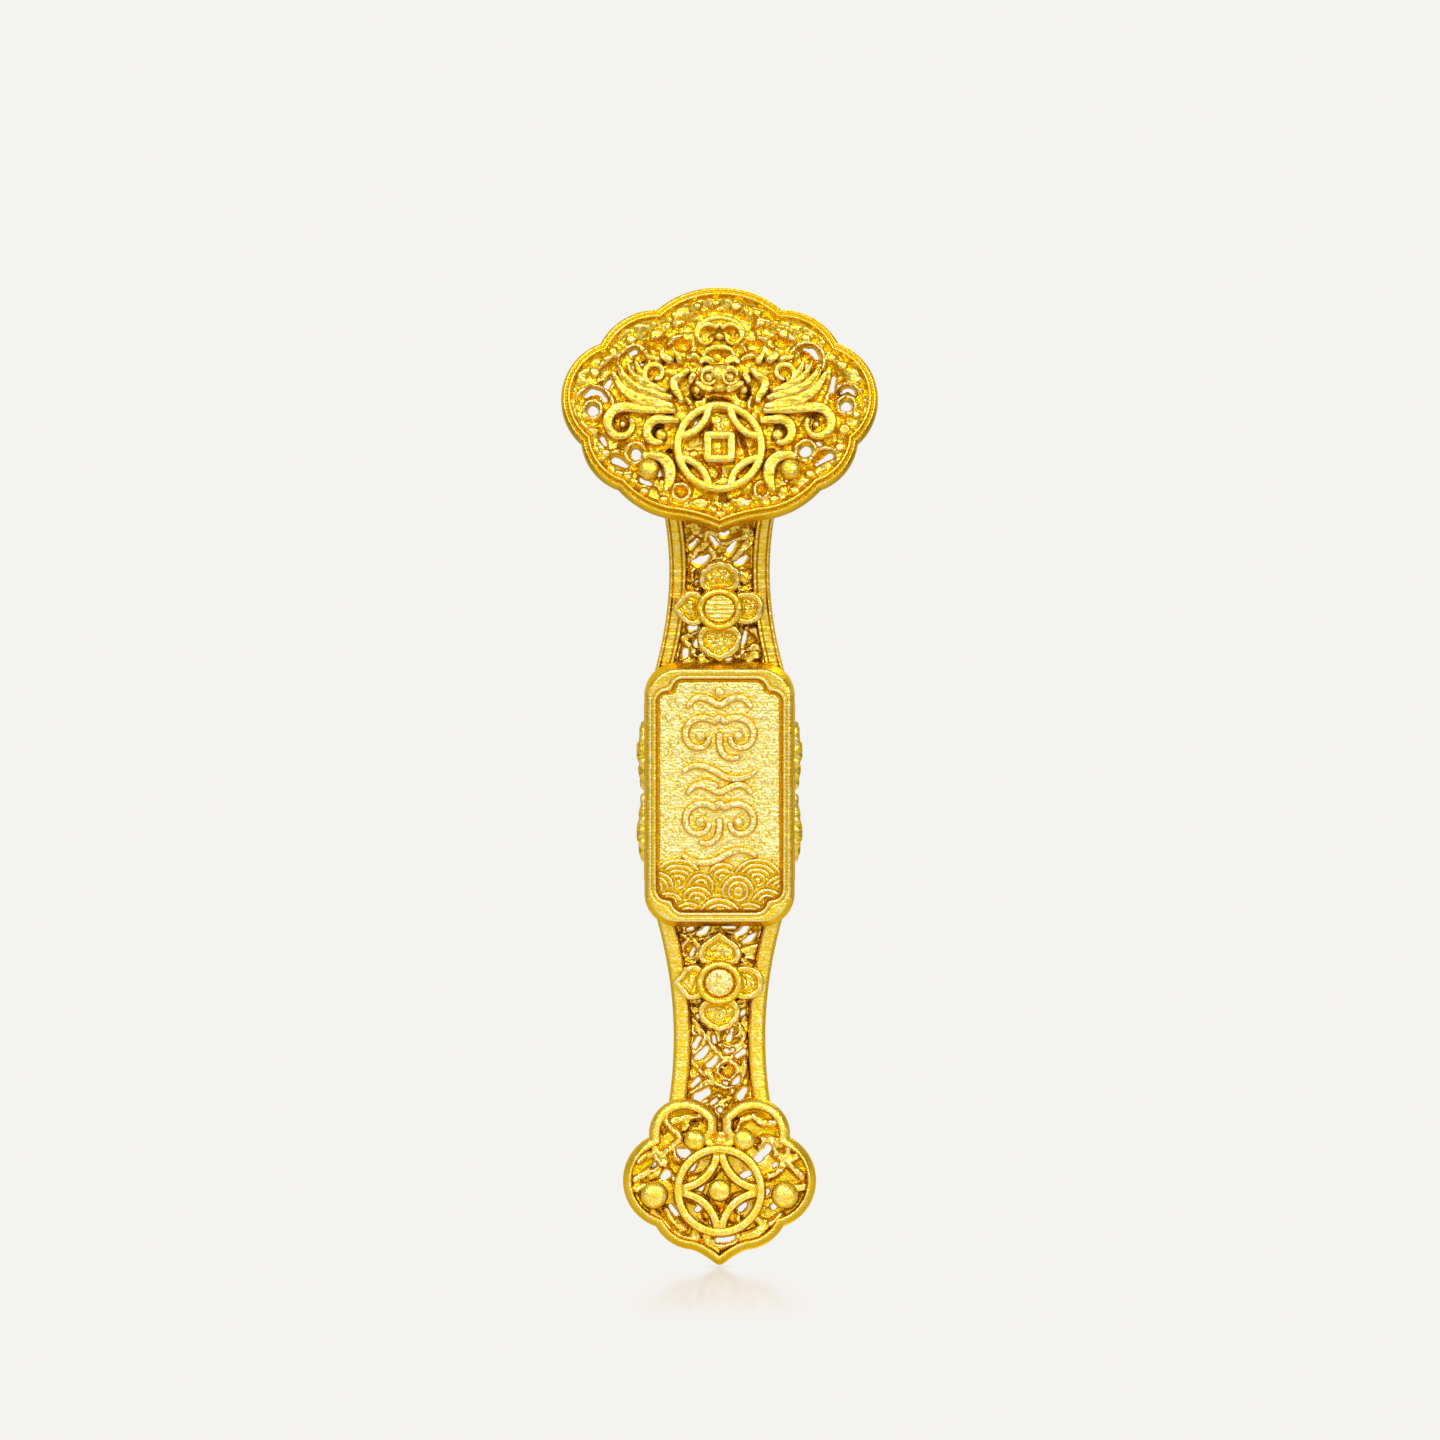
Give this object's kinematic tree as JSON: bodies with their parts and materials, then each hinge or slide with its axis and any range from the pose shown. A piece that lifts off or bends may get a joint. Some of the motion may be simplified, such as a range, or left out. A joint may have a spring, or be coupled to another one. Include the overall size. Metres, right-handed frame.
{
  "type": "ruyi ornament",
  "caption": "Gold ruyi ornament: lobed cloud head with pierced scrollwork, curved openwork stem with a raised tablet and flower bosses, small cloud tail.",
  "frame": {"origin": "on the flat outer face of the back plate, behind the middle of the tablet", "axes": "+Z along the stem towards the head, -Y out of the front, +X to the right seen from the front"},
  "size_m": [0.0322, 0.0106, 0.0999],
  "materials": {
    "satin_gold": null,
    "bright_gold": null,
    "cast_gold": null,
    "stippled_gold": null
  },
  "bodies": {
    "root": {"stem_frame": "satin_gold", "back_plate": "satin_gold", "neck_saddle": "satin_gold", "head_bat": "satin_gold", "head_cloud": "satin_gold", "head_scroll_left": "satin_gold", "head_scroll_right": "satin_gold", "head_curl_left": "satin_gold", "head_curl_right": "satin_gold", "tablet_frame": "bright_gold", "tablet_upper_cloud": "bright_gold", "tablet_lower_cloud": "bright_gold", "upper_flower_bezel": "bright_gold", "lower_flower_bezel": "bright_gold", "head_rim": "bright_gold", "head_coin": "bright_gold", "tail_rim": "bright_gold", "tail_medallion": "bright_gold", "tail_bead_side_left": "bright_gold", "tail_bead_side_right": "bright_gold", "tail_bead_curl_left": "bright_gold", "tail_bead_curl_right": "bright_gold", "tablet_waves": "cast_gold", "upper_openwork": "cast_gold", "lower_openwork": "cast_gold", "upper_flower_petals": "cast_gold", "lower_flower_petals": "cast_gold", "side_spray_left": "cast_gold", "side_spray_right": "cast_gold", "head_openwork": "cast_gold", "tail_openwork": "cast_gold", "tablet_panel": "stippled_gold", "upper_flower_boss": "stippled_gold", "lower_flower_boss": "stippled_gold"}
  },
  "joints": []
}
